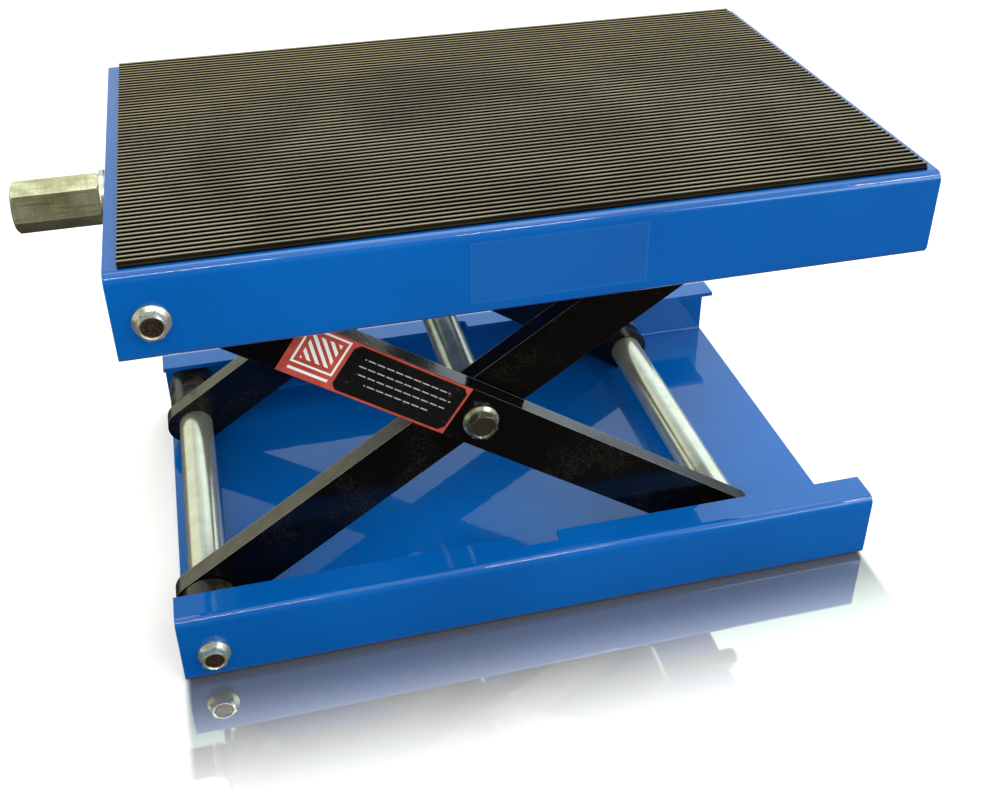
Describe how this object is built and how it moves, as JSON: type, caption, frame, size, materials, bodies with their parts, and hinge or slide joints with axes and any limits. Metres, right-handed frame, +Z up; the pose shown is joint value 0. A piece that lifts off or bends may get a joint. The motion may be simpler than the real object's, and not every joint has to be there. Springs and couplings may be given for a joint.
{
  "type": "motorcycle scissor lift stand",
  "caption": "Low scissor-lift paddock stand with a ribbed rubber deck, folded steel channels, crossed arms on cross rods and a lead screw turned by a hexagon.",
  "frame": {"origin": "on the floor, under the middle of the base channel", "axes": "+X along the stand away from the drive hexagon, +Y to the rear, +Z up; rest is the partly raised position, with the deck plate 256 mm above the floor"},
  "size_m": [0.4567, 0.2792, 0.259],
  "materials": {
    "blue_paint": "gloss blue powder coat",
    "black_paint": "gloss black paint, lightly dusty",
    "zinc_rod": "bright zinc plate over turned steel",
    "zinc_fasteners": "zinc plate",
    "yellow_zinc": "pale yellow passivated zinc",
    "screw_steel": "oiled rolled thread",
    "bearing_steel": "ground steel",
    "black_nylon": "black nylon, oily",
    "mat_rubber": "ribbed rubber, dusty on the ribs",
    "label_vinyl": "printed vinyl with a plain border",
    "film_vinyl": "clear film over the paint"
  },
  "bodies": {
    "base": {"base_channel": "blue_paint", "base_cross_rod": "zinc_rod", "base_rod_bolts": "zinc_fasteners", "base_rod_spacers": "black_nylon"},
    "inner_arms": {"inner_arm_front": "black_paint", "inner_arm_rear": "black_paint", "centre_shaft": "zinc_rod", "centre_bolts": "zinc_fasteners", "centre_thrust_washers": "black_nylon"},
    "outer_arms": {"outer_arm_front": "black_paint", "outer_arm_rear": "black_paint", "lower_slide_rod": "zinc_rod", "lower_roller_washers": "zinc_fasteners", "arm_label": "label_vinyl"},
    "deck": {"deck_channel": "blue_paint", "deck_mat": "mat_rubber", "deck_cross_rod": "zinc_rod", "deck_rod_bolts": "zinc_fasteners", "deck_rod_spacers": "black_nylon", "roller_tracks": "blue_paint", "flange_film": "film_vinyl", "thrust_race_seat": "bearing_steel"},
    "nut_carriage": {"nut_rod": "zinc_rod", "nut_rod_sleeves": "zinc_rod"},
    "screw": {"lead_screw": "screw_steel", "drive_hex": "yellow_zinc", "drive_washer": "zinc_fasteners", "thrust_race_shaft": "bearing_steel", "lock_collar": "zinc_rod", "collar_pin": "bearing_steel"},
    "ball_cage": {"thrust_ball_cage": "bearing_steel"},
    "lower_roller_f": {"lower_roller_front": "black_nylon"},
    "lower_roller_r": {"lower_roller_rear": "black_nylon"},
    "upper_roller_f": {"upper_roller_front": "black_nylon"},
    "upper_roller_r": {"upper_roller_rear": "black_nylon"}
  },
  "joints": [
    {"name": "lift", "type": "hinge", "parent": "base", "child": "inner_arms", "pos_m": [-0.1855, 0, 0.0191], "axis": [0, -1, 0], "range_deg": [-26.8, 28], "stiffness_Nm_per_rad": 20, "springref_deg": 82.51},
    {"name": "arm_cross", "type": "hinge", "parent": "inner_arms", "child": "outer_arms", "pos_m": [-0.02896, 0, 0.125], "axis": [0, -1, 0], "range_deg": [-56, 53.6]},
    {"name": "deck_pivot", "type": "hinge", "parent": "outer_arms", "child": "deck", "pos_m": [-0.1855, 0, 0.2309], "axis": [0, -1, 0], "range_deg": [-26.8, 28]},
    {"name": "nut_pivot", "type": "hinge", "parent": "inner_arms", "child": "nut_carriage", "pos_m": [0.12759, 0, 0.2309], "axis": [0, -1, 0], "range_deg": [-28, 26.8]},
    {"name": "screw_turn", "type": "hinge", "parent": "deck", "child": "screw", "pos_m": [-0.2, 0, 0.2309], "axis": [1, 0, 0], "continuous": true},
    {"name": "cage_turn", "type": "hinge", "parent": "deck", "child": "ball_cage", "pos_m": [-0.2, 0, 0.2309], "axis": [1, 0, 0], "continuous": true},
    {"name": "lower_roller_f_spin", "type": "hinge", "parent": "outer_arms", "child": "lower_roller_f", "pos_m": [0.12759, -0.117, 0.0191], "axis": [0, -1, 0], "continuous": true},
    {"name": "lower_roller_r_spin", "type": "hinge", "parent": "outer_arms", "child": "lower_roller_r", "pos_m": [0.12759, 0.117, 0.0191], "axis": [0, -1, 0], "continuous": true},
    {"name": "upper_roller_f_spin", "type": "hinge", "parent": "nut_carriage", "child": "upper_roller_f", "pos_m": [0.12759, -0.117, 0.2309], "axis": [0, -1, 0], "continuous": true},
    {"name": "upper_roller_r_spin", "type": "hinge", "parent": "nut_carriage", "child": "upper_roller_r", "pos_m": [0.12759, 0.117, 0.2309], "axis": [0, -1, 0], "continuous": true}
  ],
  "couplings": [
    {"joint": "arm_cross", "follows": "lift", "ratio": -2},
    {"joint": "deck_pivot", "follows": "lift", "ratio": 1},
    {"joint": "nut_pivot", "follows": "lift", "ratio": -1},
    {"joint": "cage_turn", "follows": "screw_turn", "ratio": 0.5}
  ]
}
